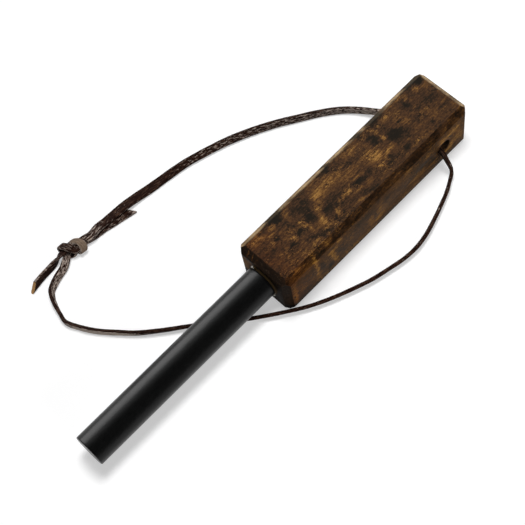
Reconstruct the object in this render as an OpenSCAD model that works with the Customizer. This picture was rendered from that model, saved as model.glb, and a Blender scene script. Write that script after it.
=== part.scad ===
// Fire starter: a ferrocerium rod glued into a bevelled wooden handle, with a flat leather
// thong through a hole near the butt. The thong lies in a loop on the surface and its two
// ends are joined by a reef knot. Millimetres. X runs along the rod towards its tip, Y is
// across the handle and Z is up. The object lies on the plane Z = 0, and the origin is below
// the middle of the handle and rod.

/* [Handle] */
// length of the wooden block along the rod
handle_l = 96.7; // [88:0.1:110]
// width of the block across the rod
handle_w = 24.4; // [22:0.1:30]
// height of the block
handle_h = 22; // [21:0.5:28]
// size of the flat bevel on the eight edges above the base
edge_bevel = 2.5; // [1:0.1:3]
// size of the smaller bevel round the base
base_bevel = 1.3; // [0.5:0.1:3]

/* [Thong hole] */
// diameter of the hole drilled across the width
hole_d = 6.6; // [5.6:0.1:7.4]
// distance from the butt to the middle of the hole
hole_from_butt = 14.1; // [9:0.1:16]
// how far the middle of the hole is below the middle of the block
hole_drop = 0.8; // [0:0.1:1.5]

/* [Ferro rod] */
// diameter of the exposed rod
rod_d = 12.7; // [9:0.1:14]
// length of rod that stands out of the handle
rod_out = 85.3; // [60:0.1:110]
// length of rod inside the handle
shank_l = 16.5; // [12:0.5:30]
// how much thinner in radius the roughened shank is than the exposed rod
shank_step = 0.2; // [0.1:0.05:0.4]
// chamfer on the rod's free end
tip_chamfer = 0.4; // [0.2:0.1:1.2]

/* [Glue] */
// thickness of the glue round the shank
glue_gap = 0.15; // [0.1:0.05:0.4]
// thickness of the glue under the shank's end
glue_floor = 0.5; // [0.3:0.1:1]
// how far the bead stands out of the wood at the rod's entry
bead_h = 0.6; // [0.4:0.1:0.8]
// how far the bead spreads over the wood from the socket's edge
bead_spread = 0.6; // [0.4:0.1:0.9]
// radius of the squeezed-out drop on the far side
far_drop_r = 1.3; // [1:0.1:1.6]
// radius of the squeezed-out drop on the near side
near_drop_r = 1.5; // [1:0.1:1.6]
// where the far drop sits round the rod, in degrees from the near side up
far_drop_at = 118; // [90:2:150]
// where the near drop sits round the rod
near_drop_at = -52; // [-80:2:-30]

/* [Thong] */
// width of the flat leather thong
thong_w = 3.2; // [2.8:0.1:3.4]
// thickness of the thong
thong_t = 1.5; // [1.4:0.1:1.7]
// how much of each long corner is worn away
thong_corner = 0.25; // [0.15:0.05:0.35]
// length of the slanted cut at the tan end
cut_slant = 4; // [1:0.5:5]
// length of the slanted cut at the pointed end
point_slant = 3; // [1:0.5:4]

/* [Hidden] */
$fn = 96;
total_l = handle_l + rod_out;
butt_x = -total_l / 2;
front_x = butt_x + handle_l;
hole_x = butt_x + hole_from_butt;
axis_z = handle_h / 2;
hole_z = axis_z - hole_drop;
rod_r = rod_d / 2;
shank_r = rod_r - shank_step;
socket_r = shank_r + glue_gap;
socket_l = shank_l + glue_floor;
bead_r = socket_r + bead_spread;
bead_waist = [0.6, 0.35];

// The block: three octagon prisms, one along each axis, cut one another to bevel every edge.
// An octagon's two lower corners, d, can be cut less than its others, c.
module octagon(a, b, c, d) {
    polygon([[-a / 2 + d, -b / 2], [a / 2 - d, -b / 2], [a / 2, -b / 2 + d], [a / 2, b / 2 - c],
             [a / 2 - c, b / 2], [-a / 2 + c, b / 2], [-a / 2, b / 2 - c], [-a / 2, -b / 2 + d]]);
}

module block() {
    intersection() {
        linear_extrude(handle_h, center = true) octagon(handle_l, handle_w, edge_bevel, edge_bevel);
        rotate([90, 0, 0]) linear_extrude(handle_w, center = true)
            octagon(handle_l, handle_h, edge_bevel, base_bevel);
        rotate([90, 0, 90]) linear_extrude(handle_l, center = true)
            octagon(handle_w, handle_h, edge_bevel, base_bevel);
    }
}

// Squeezed-out glue: a drop that swelled out beside the bead, cut flush at the wood and the rod.
drop_clear = 0.02;
module drop(at, r) {
    difference() {
        translate([front_x + bead_h - r, bead_r * cos(at), axis_z + bead_r * sin(at)]) sphere(r = r);
        translate([front_x - 2 * r, -handle_w / 2, 0]) cube([2 * r, handle_w, handle_h]);
        translate([front_x - r, 0, axis_z]) rotate([0, 90, 0]) cylinder(h = 3 * r, r = rod_r + drop_clear);
    }
}

module handle() {
    color("saddlebrown") difference() {
        translate([butt_x + handle_l / 2, 0, axis_z]) block();
        translate([hole_x, 0, hole_z]) rotate([90, 0, 0]) cylinder(h = handle_w + 2, r = hole_d / 2, center = true);
        translate([front_x - socket_l, 0, axis_z]) rotate([0, 90, 0]) cylinder(h = socket_l + 1, r = socket_r);
    }
}

module ferro_rod() {
    color("dimgray") translate([front_x, 0, axis_z]) rotate([0, 90, 0]) rotate_extrude()
        polygon([[0, -shank_l], [shank_r, -shank_l], [shank_r, bead_h], [rod_r, bead_h],
                 [rod_r, rod_out - tip_chamfer], [rod_r - tip_chamfer, rod_out], [0, rod_out]]);
}

// One casting of glue: a cup round the shank, a fillet over the wood at the mouth, and the drops.
module epoxy_bond() {
    color("lightyellow") union() {
        translate([front_x, 0, axis_z]) rotate([0, 90, 0]) rotate_extrude()
            polygon([[0, -socket_l], [socket_r, -socket_l], [socket_r, 0], [bead_r, 0],
                     [socket_r + bead_spread * bead_waist[0], bead_h * bead_waist[1]], [shank_r, bead_h],
                     [shank_r, -shank_l], [0, -shank_l]]);
        drop(far_drop_at, far_drop_r);
        drop(near_drop_at, near_drop_r);
    }
}

// The thong's section, eight corners, u across the width and v through the thickness.
function section(w, t, c) = [[w / 2 - c, t / 2], [w / 2, t / 2 - c], [w / 2, c - t / 2], [w / 2 - c, -t / 2],
                             [c - w / 2, -t / 2], [-w / 2, c - t / 2], [-w / 2, t / 2 - c], [c - w / 2, t / 2]];

function unit(v) = v / norm(v);
function bound(v, lo, hi) = max(lo, min(hi, v));

// The loop follows the block: it stretches with the distance from hole to front face, moves
// out with the width, and climbs to the hole's own height.
chosen_reach = 82.6;
chosen_mouth = 12.2;
chosen_seat_z = 9.5;
climb_z = 2.6;
stretch = (handle_l - hole_from_butt) / chosen_reach;
function loop_x(x) = hole_x + x * stretch;
function loop_y(y) = y + (handle_w / 2 - chosen_mouth) * bound(y / chosen_mouth, -1, 1);
function loop_z(z) = z < climb_z ? z
    : climb_z + (z - climb_z) * (seat_z - climb_z) / (chosen_seat_z - climb_z);

// In the hole the thong stands on edge towards the front of the bore, down on its floor.
seat_gap = 0.05;
seat_share = 0.39;
seat_x = hole_d * seat_share - thong_t / 2;
seat_z = hole_z - sqrt(pow(hole_d / 2, 2) - pow(seat_x + thong_t / 2 - thong_corner, 2)) + thong_w / 2 + seat_gap;

// Height of the thong's middle when it rests at a lean: 0 stands on edge, 90 lies flat.
rest_gap = 0.03;
function rest(lean) = thong_w / 2 * abs(cos(lean)) + thong_t / 2 * abs(sin(lean)) + rest_gap;
mouth = seat_x / stretch;
mouth_lift = chosen_seat_z - rest(0);

// Rows of a run are [x, y, lift, lean], with x from the hole and lift above resting height.
// Each becomes [point, face normal], the normal turned from level to upright by the lean.
function run_row(rows, i) =
    let (r = rows[i], a = rows[max(i - 1, 0)], b = rows[min(i + 1, len(rows) - 1)],
         along = unit([b[0] - a[0], b[1] - a[1], 0]), level = cross(along, [0, 0, 1]))
    [[loop_x(r[0]), loop_y(r[1]), loop_z(r[2] + rest(r[3]))], level * cos(r[3]) + [0, 0, sin(r[3])], 0];

// Rows of the knot are [right, far, up, normal right, normal far, normal up, squeeze], in the
// knot's own directions.
knot_at = [118.4, -65.4];
knot_right = unit([-0.97, 0.25, 0]);
knot_far = unit([-0.25, -0.97, 0]);
function knot_row(r) =
    [[loop_x(knot_at[0]), loop_y(knot_at[1]), 0] + knot_right * r[0] + knot_far * r[1] + [0, 0, r[2]],
     knot_right * r[3] + knot_far * r[4] + [0, 0, r[5]], r[6]];

// A smooth curve through p1 and p2 that doesn't swing wide where the rows are unevenly spaced.
function curve(p0, p1, p2, p3, s) =
    let (a = sqrt(norm(p1 - p0)), b = sqrt(norm(p2 - p1)), c = sqrt(norm(p3 - p2)), t = a + b * s,
         e = (p0 * (a - t) + p1 * t) / a, f = (p1 * (a + b - t) + p2 * (t - a)) / b,
         g = (p2 * (a + b + c - t) + p3 * (t - a - b)) / c,
         h = (e * (a + b - t) + f * t) / (a + b), k = (f * (a + b + c - t) + g * (t - a)) / (b + c))
    (h * (a + b - t) + k * (t - a)) / b;

function ghost(p, q) = p + (p - q) * 0.5;
function row_point(rows, i) = i < 0 ? ghost(rows[0][0], rows[1][0])
    : i >= len(rows) ? ghost(rows[len(rows) - 1][0], rows[len(rows) - 2][0]) : rows[i][0];

// Rows cut into steps, as [point, normal, squeeze].
function fine(rows, from, to, steps) = [
    for (i = [from : to - 1], k = [0 : steps - 1]) let (s = k / steps)
        [curve(row_point(rows, i - 1), rows[i][0], rows[i + 1][0], row_point(rows, i + 2), s),
         rows[i][1] * (1 - s) + rows[i + 1][1] * s, rows[i][2] * (1 - s) + rows[i + 1][2] * s],
    rows[to]];

// Leather pulled tight in the knot is pinched: a squeeze of 1 thins and narrows it, 2 narrows it more.
squeeze_thins = 0.22;
squeeze_narrows = 0.06;
hard_squeeze_narrows = 0.1;

// One ring of the sweep. The slant slides the ring's points along the thong, for a cut end.
function ring(stations, i, slant = 0, heading = [0, 0, 0]) =
    let (st = stations[i], n = len(stations),
         t = norm(heading) > 0 ? heading : unit(stations[min(i + 1, n - 1)][0] - stations[max(i - 1, 0)][0]),
         nrm = unit(st[1] - t * (st[1] * t)), across = cross(t, nrm), soft = min(st[2], 1), hard = max(st[2] - 1, 0),
         w = thong_w * (1 - squeeze_narrows * st[2] - hard_squeeze_narrows * hard),
         th = thong_t * (1 - squeeze_thins * soft))
    [for (p = section(w, th, thong_corner * (1 + soft)))
        st[0] + across * p[0] + nrm * p[1] + t * (slant * p[0] / w)];

module sweep(rings) {
    n = len(rings);
    polyhedron(points = [for (r = rings, p = r) p],
               faces = [[for (k = [0 : 7]) k],
                        for (i = [0 : n - 2], k = [0 : 7]) let (a = i * 8 + k, b = i * 8 + (k + 1) % 8)
                            each [[a, a + 8, b], [b, a + 8, b + 8]],
                        [for (k = [7 : -1 : 0]) (n - 1) * 8 + k]]);
}

// The pointed end, from its tip back to the knot, lying flat under the upper run.
point_rows = [[92.9, -61.1, 0, -90], [96.9, -61.9, 0, -90], [100.9, -62.7, 0, -90], [104.9, -63.6, 0, -90]];

// First bight of the reef knot: it comes in low, passes round the far side and leaves high.
bight_a = [[8.3, 0.9, 0.95, 0, 0, -1, 0], [4.8, 0.2, 2, 0, 0, -1, 1], [2.2, -0.6, 2.35, 0, -0.2, -1, 1],
           [0.6, -1.2, 2.35, 0, -0.3, -1, 2], [-1.2, -1.6, 1.05, 0, -0.3, -0.95, 2],
           [-2.9, -0.4, 0.68, 0, 0, -1, 2], [-3.8, 1.1, 1.1, -0.1, 0.4, -0.9, 2],
           [-4, 2.6, 2.4, -0.2, 0.95, -0.2, 1], [-3.7, 2.7, 3.8, -0.2, 0.9, 0.4, 1],
           [-2.7, 1.2, 4.85, -0.1, 0.4, 0.9, 1], [-1.3, -0.5, 5.05, 0, -0.1, 1, 1],
           [0.2, -1.7, 4.15, 0.1, -0.7, 0.7, 1], [1.7, -0.9, 3.5, 0, -0.3, 0.95, 1],
           [3.2, 0.2, 3.5, 0, 0, 1, 1], [5, 0.5, 3.4, 0, 0, 1, 0.8], [8, 0.6, 3.1, 0, 0, 1, 0]];

// The upper run, from the knot to the mouth of the hole on the far side.
upper_rows = [[106.4, -64.5, 2.1, 90], [102.9, -64.3, 1.7, 90], [99.4, -64.1, 1.6, 90],
              [95.4, -63.8, 1.6, 90], [91.4, -63.4, 1.4, 89], [86.9, -63, 0.6, 87],
              [81.9, -62.3, 0.1, 85], [76.4, -61.6, 0, 82], [70.4, -60.8, 0, 76], [64.4, -59.7, 0, 67],
              [56.9, -57.5, 0, 55], [48.9, -54.8, 0, 45], [41.9, -51.8, 0, 36], [35.9, -48.8, 0, 30],
              [29.4, -45.1, 0, 25], [23.2, -41, 0, 20], [16.9, -36.8, 0, 16], [11.1, -32.2, 0.1, 12],
              [7.3, -28.1, 0.4, 8], [4.2, -23.4, 1.1, 4], [2.2, -18.9, 2.5, 0], [1.9, -15.4, 5.3, 0],
              [mouth, -13, mouth_lift, 0], [mouth, -12.2, mouth_lift, 0]];

// The lower run, from the near mouth round the right and under the rod to the knot.
lower_rows = [[mouth, 12.2, mouth_lift, 0], [mouth, 12.8, mouth_lift, 0], [1.9, 13.9, 7.3, -12],
              [2, 15.3, 5.6, -20], [2.1, 16.8, 3.7, -18], [2.3, 17.9, 2.3, -12], [3, 18.9, 1.3, -6],
              [4.4, 19.7, 0.5, 0], [6.4, 20.7, 0.1, 7], [9.3, 22.2, 0, 14], [15.1, 24.4, 0, 16],
              [21.1, 26.4, 0, 17], [27.9, 28.3, 0, 19], [33.9, 29.1, 0, 21], [39.9, 28.8, 0, 22],
              [46.9, 27.4, 0, 23], [53.9, 25.7, 0, 24], [60.9, 23.2, 0, 24], [68.9, 19.9, 0, 24],
              [76.9, 15.8, 0, 24], [84.9, 10.5, 0, 23], [93.9, 3.8, 0, 22], [102.4, -3.4, 0, 22],
              [110.9, -10.7, 0, 20], [118.4, -16.7, 0, 15], [125.9, -23.4, 0, 8], [129.4, -27.5, 0, 4],
              [134.9, -34.5, 0, 0], [138.5, -40.9, 0, 0], [140.3, -45.8, 0, 0], [139.5, -49.8, 0, 0],
              [138.5, -53.4, 0, 4], [137, -56.9, 0, 10], [135.5, -58.9, 0, 18], [132.8, -60.4, 0, 28],
              [129.4, -61.6, 0, 33]];

// Second bight: it comes in low, passes round the near side and leaves high.
bight_b = [[-7, -4.9, 1.8, 0, -0.8, 0.55, 0], [-4.4, -2.4, 2.15, 0, -0.35, 0.95, 1],
           [-2.4, -0.1, 2.15, 0, -0.1, 1, 2], [-0.9, 1.2, 1.9, 0, -0.4, 0.9, 2],
           [1, -0.2, 0.72, 0, 0, 1, 2], [1.8, -2, 1.15, -0.1, 0.4, 0.9, 2],
           [2.6, -3, 2.4, -0.1, 0.95, 0.2, 1], [3.3, -2.7, 3.8, -0.2, 0.9, -0.4, 1],
           [3.3, -1.3, 4.8, -0.1, 0.4, -0.9, 1], [2.5, 0.2, 5, 0, -0.1, -1, 2],
           [0.8, 1.4, 4.25, 0, -0.5, -0.85, 2], [-1.4, 0.8, 3.45, 0, -0.2, -1, 1],
           [-3.4, 0.2, 3.35, 0, -0.2, -1, 1], [-5.5, -0.1, 3.1, 0, -0.6, -0.8, 1],
           [-7.5, -0.8, 2.5, 0, -0.9, -0.3, 0]];

// The cut end, from the knot to its tan slanted cut.
cut_rows = [[128.5, -66.3, 0, 165], [133.9, -65.9, 0, 165], [139.1, -65.1, 0, 165]];

function runs(rows) = [for (i = [0 : len(rows) - 1]) run_row(rows, i)];
function knots(rows) = [for (r = rows) knot_row(r)];

function rest_of(list) = [for (i = [1 : len(list) - 1]) list[i]];

rows_a = concat(runs(point_rows), knots(bight_a), runs(upper_rows));
rows_b = concat(runs(lower_rows), knots(bight_b), runs(cut_rows));
last_a = len(rows_a) - 1;
last_b = len(rows_b) - 1;
leave_a = len(point_rows) + len(bight_a) - 1;
leave_b = len(lower_rows);

// Half A goes from the pointed tip to the far mouth, half B from the near mouth to the cut end.
// The knot takes three steps a row and the rest one or two.
stations_a = concat([rows_a[0]], fine(rows_a, 1, leave_a, 3), rest_of(fine(rows_a, leave_a, last_a - 1, 2)),
                    [rows_a[last_a]]);
stations_b = concat([rows_b[0]], fine(rows_b, 1, leave_b, 2), rest_of(fine(rows_b, leave_b, last_b - 1, 3)),
                    [rows_b[last_b]]);
split_a = 1 + (leave_a - 1) * 3;
split_b = 1 + (leave_b - 1) * 2;
end_a = len(stations_a) - 1;
end_b = len(stations_b) - 1;
rings_a = [for (i = [0 : end_a]) i == 0 ? ring(stations_a, i, slant = -point_slant)
    : i == end_a ? ring(stations_a, i, heading = [0, 1, 0]) : ring(stations_a, i)];
rings_b = [for (i = [0 : end_b]) i == 0 ? ring(stations_b, i, heading = [0, 1, 0])
    : i == end_b ? ring(stations_b, i, slant = -cut_slant) : ring(stations_b, i)];

function part_of(rings, from, to) = [for (i = [from : to]) rings[i]];

module thong_in_hole() {
    color("peru") translate([hole_x + seat_x, -handle_w / 2, seat_z])
        multmatrix([[0, 1, 0, 0], [0, 0, 1, 0], [1, 0, 0, 0]])
        linear_extrude(handle_w) polygon(section(thong_w, thong_t, thong_corner));
}

module thong_pointed_end() {
    color("sienna") sweep(part_of(rings_a, 0, split_a));
}

module thong_upper_run() {
    color("chocolate") sweep(part_of(rings_a, split_a, end_a));
}

module thong_lower_run() {
    color("chocolate") sweep(part_of(rings_b, 0, split_b));
}

module thong_cut_end() {
    color("sienna") sweep(part_of(rings_b, split_b, end_b));
}

handle();
ferro_rod();
epoxy_bond();
thong_in_hole();
thong_upper_run();
thong_lower_run();
thong_pointed_end();
thong_cut_end();
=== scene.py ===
# A ferro rod fire starter lying on a pale table: a bevelled block of stained curly birch, a graphite
# black rod glued into it, and a flat leather thong tied into a loop with a reef knot.
# Metres. X runs along the rod to its tip, Y across the handle, Z up.
import math

import bmesh
import bpy
import numpy as np
from mathutils import Euler, Matrix, Vector


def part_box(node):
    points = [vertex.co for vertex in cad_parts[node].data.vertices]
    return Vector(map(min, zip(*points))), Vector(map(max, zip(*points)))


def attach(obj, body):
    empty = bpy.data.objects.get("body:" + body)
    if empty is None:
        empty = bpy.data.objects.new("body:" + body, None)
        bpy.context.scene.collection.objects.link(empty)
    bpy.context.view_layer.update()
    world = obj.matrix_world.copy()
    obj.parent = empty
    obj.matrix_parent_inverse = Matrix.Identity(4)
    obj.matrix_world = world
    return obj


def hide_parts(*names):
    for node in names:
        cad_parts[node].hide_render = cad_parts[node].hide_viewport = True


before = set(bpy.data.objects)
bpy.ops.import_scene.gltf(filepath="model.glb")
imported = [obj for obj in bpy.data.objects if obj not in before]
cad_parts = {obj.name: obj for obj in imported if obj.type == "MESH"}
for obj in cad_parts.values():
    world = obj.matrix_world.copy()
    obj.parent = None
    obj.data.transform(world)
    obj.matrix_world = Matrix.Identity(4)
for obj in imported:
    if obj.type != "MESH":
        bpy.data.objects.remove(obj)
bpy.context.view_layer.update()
mm = 0.001

# Camera: a short telephoto over the near side of the rod.
view = {
    "place": (0.113466, 0.167054, 0.442096),
    "turn": (24.84, 5.903, 134.295),  # degrees
    "lens": 91.71,
    "sensor": 36.0,
}


def makeCamera():
    lens = bpy.data.cameras.new("camera")
    lens.lens = view["lens"]
    lens.sensor_fit = "HORIZONTAL"
    lens.sensor_width = view["sensor"]
    lens.clip_start = 0.01
    camera = bpy.data.objects.new("camera", lens)
    camera.location = view["place"]
    camera.rotation_euler = [math.radians(a) for a in view["turn"]]
    bpy.context.collection.objects.link(camera)
    bpy.context.scene.camera = camera


makeCamera()
print("camera set")

# Common helpers


def newPiece(name, points, faces, body="root"):
    # a mesh object at the origin, from arrays of points and of faces
    mesh = bpy.data.meshes.new(name)
    mesh.from_pydata(points.tolist(), [], faces)
    mesh.polygons.foreach_set("use_smooth", np.ones(len(faces), bool))
    mesh.update()
    piece = bpy.data.objects.new(name, mesh)
    bpy.context.collection.objects.link(piece)
    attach(piece, body)
    return piece


def gridFaces(rows, columns, closed=True):
    # quads between neighbouring rows of a grid whose columns close on themselves
    i, k = np.meshgrid(np.arange(rows - 1), np.arange(columns if closed else columns - 1), indexing="ij")
    n = (k + 1) % columns
    return np.stack([i * columns + k, i * columns + n, (i + 1) * columns + n, (i + 1) * columns + k], -1).reshape(-1, 4)


def hexColour(text):
    # an sRGB hex value as linear red, green, blue and alpha
    value = np.array([int(text[k : k + 2], 16) for k in (1, 3, 5)]) / 255
    linear = np.where(value <= 0.04045, value / 12.92, ((value + 0.055) / 1.055) ** 2.4)
    return tuple(linear.tolist()) + (1.0,)


def put(tree, kind, settings=None, inputs=None):
    # adds a node: settings are its own, inputs are values or other nodes' outputs by socket name or number
    made = tree.nodes.new(kind)
    for key, value in (settings or {}).items():
        if key == "stops":
            while len(made.color_ramp.elements) < len(value):
                made.color_ramp.elements.new(0.5)
            for element, (place, colour) in zip(made.color_ramp.elements, value):
                element.position = place
                element.color = hexColour(colour) if isinstance(colour, str) else (colour, colour, colour, 1)
        else:
            setattr(made, key, value)
    for key, value in (inputs or {}).items():
        if isinstance(value, bpy.types.Node):
            value = value.outputs[0]
        if isinstance(value, bpy.types.NodeSocket):
            tree.links.new(value, made.inputs[key])
        else:
            made.inputs[key].default_value = value
    return made


def newMaterial(name):
    # an empty Principled material, its tree and its shader
    material = bpy.data.materials.new(name)
    material.use_nodes = True
    tree = material.node_tree
    return material, tree, tree.nodes["Principled BSDF"]


# The thong's route, the same points as in the solid model, in millimetres from the hole.
thong = {
    "width": 3.2,
    "thickness": 1.5,
    "edgeRound": 5.0,  # how square its section is
    "ringStep": 0.45,  # mm between rings
    "around": 36,
    "cutSlant": 4.0,
    "pointSlant": 3.0,
    "swell": 0.55,  # mm, a wide place in the upper run near the knot, on its far edge
    "grainDark": "#0a0504",
    "grain": "#24140f",
    "grainWorn": "#5c4537",
    "scuffed": "#cdbbae",
    "flesh": "#857261",
    "cutFace": "#b98a4e",
}
# Where the lace is pale, 0 to 1, from scuffs and, in the first table's front face from 100 mm on, also a painted sheen:
# [mm along, front face, back face, right edge, left edge].
scuffAndSheenA = [
    [0, 0.2, 0.24, 0.5, 0.2], [27, 0.2, 0.24, 0.4, 0.2], [36, 0.2, 0.3, 0.5, 0.5], [42, 0.24, 0.3, 0.6, 0.6],
    [46, 0.34, 0.3, 0.6, 0.5], [54, 0.36, 0.2, 0.5, 0.4], [60, 0.08, 0.2, 0.3, 0.1], [80, 0, 0.2, 0.2, 0],
    [100, 0.26, 0.2, 0.2, 0.1], [130, 0.38, 0.2, 0.2, 0.16], [150, 0.46, 0.2, 0.2, 0.2],
    [172, 0.66, 0.2, 0.2, 0.4], [184, 0.66, 0.2, 0.2, 0.4],
]
scuffB = [
    [0, 0.2, 0.1, 0.1, 0.16], [60, 0, 0, 0, 0.04], [90, 0, 0, 0, 0], [113, 0, 0.1, 0, 0],
    [140, 0, 0.1, 0, 0], [149, 0.1, 0.36, 0.1, 0], [156, 0.1, 1, 0.1, 0], [172, 0.3, 1, 0.1, 0], [180, 0.3, 0.4, 0.1, 0.1],
    [188, 0.5, 0.2, 0.1, 0], [203, 0.5, 0.2, 0.2, 0], [212, 0.3, 0.4, 0.4, 0.3], [217, 0.3, 0.9, 0.7, 0.5], [224, 0.3, 0.9, 0.7, 0.5],
    [227, 0.1, 0.1, 0.2, 0.2], [235, 0.1, 0.1, 0.4, 0.3], [250, 0.1, 0.1, 0.56, 0.3],
]
fleshShows = [215.5, 225]  # mm along the second strip, where its back face turns up over the knot
holeX = -76.9
seatX = 1.82
seatZ = 9.51
climbFrom = 2.6  # the run climbs from here to the hole's height
climbTo = 9.5
pointRows = [[92.9, -61.1, 0, -90], [96.9, -61.9, 0, -90], [100.9, -62.7, 0, -90], [104.9, -63.6, 0, -90]]
bightA = [
    [8.3, 0.9, 0.95, 0, 0, -1, 0], [4.8, 0.2, 2, 0, 0, -1, 1], [2.2, -0.6, 2.35, 0, -0.2, -1, 1],
    [0.6, -1.2, 2.35, 0, -0.3, -1, 2], [-1.2, -1.6, 1.05, 0, -0.3, -0.95, 2],
    [-2.9, -0.4, 0.68, 0, 0, -1, 2], [-3.8, 1.1, 1.1, -0.1, 0.4, -0.9, 2],
    [-4, 2.6, 2.4, -0.2, 0.95, -0.2, 1], [-3.7, 2.7, 3.8, -0.2, 0.9, 0.4, 1],
    [-2.7, 1.2, 4.85, -0.1, 0.4, 0.9, 1], [-1.3, -0.5, 5.05, 0, -0.1, 1, 1],
    [0.2, -1.7, 4.15, 0.1, -0.7, 0.7, 1], [1.7, -0.9, 3.5, 0, -0.3, 0.95, 1],
    [3.2, 0.2, 3.5, 0, 0, 1, 1], [5, 0.5, 3.4, 0, 0, 1, 0.8], [8, 0.6, 3.1, 0, 0, 1, 0],
]
upperRows = [
    [106.4, -64.5, 2.1, 90], [102.9, -64.3, 1.7, 90], [99.4, -64.1, 1.6, 90], [95.4, -63.8, 1.6, 90],
    [91.4, -63.4, 1.4, 89], [86.9, -63, 0.6, 87], [81.9, -62.3, 0.1, 85], [76.4, -61.6, 0, 82],
    [70.4, -60.8, 0, 76], [64.4, -59.7, 0, 67], [56.9, -57.5, 0, 55], [48.9, -54.8, 0, 45],
    [41.9, -51.8, 0, 36], [35.9, -48.8, 0, 30], [29.4, -45.1, 0, 25], [23.2, -41, 0, 20],
    [16.9, -36.8, 0, 16], [11.1, -32.2, 0.1, 12], [7.3, -28.1, 0.4, 8], [4.2, -23.4, 1.1, 4],
    [2.2, -18.9, 2.5, 0], [1.9, -15.4, 5.3, 0], [1.82, -13, 7.87, 0], [1.82, -12.2, 7.87, 0],
]
lowerRows = [
    [1.82, 12.2, 7.87, 0], [1.82, 12.8, 7.87, 0], [1.9, 13.9, 7.3, -12], [2, 15.3, 5.6, -20],
    [2.1, 16.8, 3.7, -18], [2.3, 17.9, 2.3, -12], [3, 18.9, 1.3, -6], [4.4, 19.7, 0.5, 0],
    [6.4, 20.7, 0.1, 7], [9.3, 22.2, 0, 14], [15.1, 24.4, 0, 16], [21.1, 26.4, 0, 17],
    [27.9, 28.3, 0, 19], [33.9, 29.1, 0, 21], [39.9, 28.8, 0, 22], [46.9, 27.4, 0, 23],
    [53.9, 25.7, 0, 24], [60.9, 23.2, 0, 24], [68.9, 19.9, 0, 24], [76.9, 15.8, 0, 24],
    [84.9, 10.5, 0, 23], [93.9, 3.8, 0, 22], [102.4, -3.4, 0, 22], [110.9, -10.7, 0, 20],
    [118.4, -16.7, 0, 15], [125.9, -23.4, 0, 8], [129.4, -27.5, 0, 4], [134.9, -34.5, 0, 0],
    [138.5, -40.9, 0, 0], [140.3, -45.8, 0, 0], [139.5, -49.8, 0, 0], [138.5, -53.4, 0, 4],
    [137, -56.9, 0, 10], [135.5, -58.9, 0, 18], [132.8, -60.4, 0, 28], [129.4, -61.6, 0, 33],
]
bightB = [
    [-7, -4.9, 1.8, 0, -0.8, 0.55, 0], [-4.4, -2.4, 2.15, 0, -0.35, 0.95, 1],
    [-2.4, -0.1, 2.15, 0, -0.1, 1, 2], [-0.9, 1.2, 1.9, 0, -0.4, 0.9, 2], [1, -0.2, 0.72, 0, 0, 1, 2],
    [1.8, -2, 1.15, -0.1, 0.4, 0.9, 2], [2.6, -3, 2.4, -0.1, 0.95, 0.2, 1],
    [3.3, -2.7, 3.8, -0.2, 0.9, -0.4, 1], [3.3, -1.3, 4.8, -0.1, 0.4, -0.9, 1],
    [2.5, 0.2, 5, 0, -0.1, -1, 2], [0.8, 1.4, 4.25, 0, -0.5, -0.85, 2],
    [-1.4, 0.8, 3.45, 0, -0.2, -1, 1], [-3.4, 0.2, 3.35, 0, -0.2, -1, 1],
    [-5.5, -0.1, 3.1, 0, -0.6, -0.8, 1], [-7.5, -0.8, 2.5, 0, -0.9, -0.3, 0],
]
cutRows = [[128.5, -66.3, 0, 165], [133.9, -65.9, 0, 165], [139.1, -65.1, 0, 165]]
knotAt = np.array([118.4, -65.4])
knotRight = np.array([-0.97, 0.25, 0]) / math.hypot(0.97, 0.25)
knotFar = np.array([-0.25, -0.97, 0]) / math.hypot(0.25, 0.97)


def unitRows(v):
    return v / np.linalg.norm(v, axis=-1, keepdims=True)


def runStations(rows):
    # [x, y, lift, lean] rows as point, face normal and squeeze: the face leans from level to upright
    rows = np.array(rows, float)
    ahead = np.vstack([rows[1:], rows[-1:]]) - np.vstack([rows[:1], rows[:-1]])
    along = unitRows(ahead[:, :2])
    lean = np.radians(rows[:, 3])
    height = thong["width"] / 2 * abs(np.cos(lean)) + thong["thickness"] / 2 * abs(np.sin(lean)) + 0.03 + rows[:, 2]
    climb = np.where(height < climbFrom, height,
                     climbFrom + (height - climbFrom) * (seatZ - climbFrom) / (climbTo - climbFrom))
    point = np.stack([holeX + rows[:, 0], rows[:, 1], climb], -1)
    normal = np.stack([along[:, 1] * np.cos(lean), -along[:, 0] * np.cos(lean), np.sin(lean)], -1)
    return np.hstack([point, normal, np.zeros((len(rows), 1))])


def knotStations(rows):
    # [right, far, up, normal right, normal far, normal up, squeeze] rows of the knot, the same way
    rows = np.array(rows, float)
    centre = np.array([holeX + knotAt[0], knotAt[1], 0])
    axes = np.stack([knotRight, knotFar, [0, 0, 1]])
    return np.hstack([centre + rows[:, :3] @ axes, rows[:, 3:6] @ axes, rows[:, 6:]])


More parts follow.
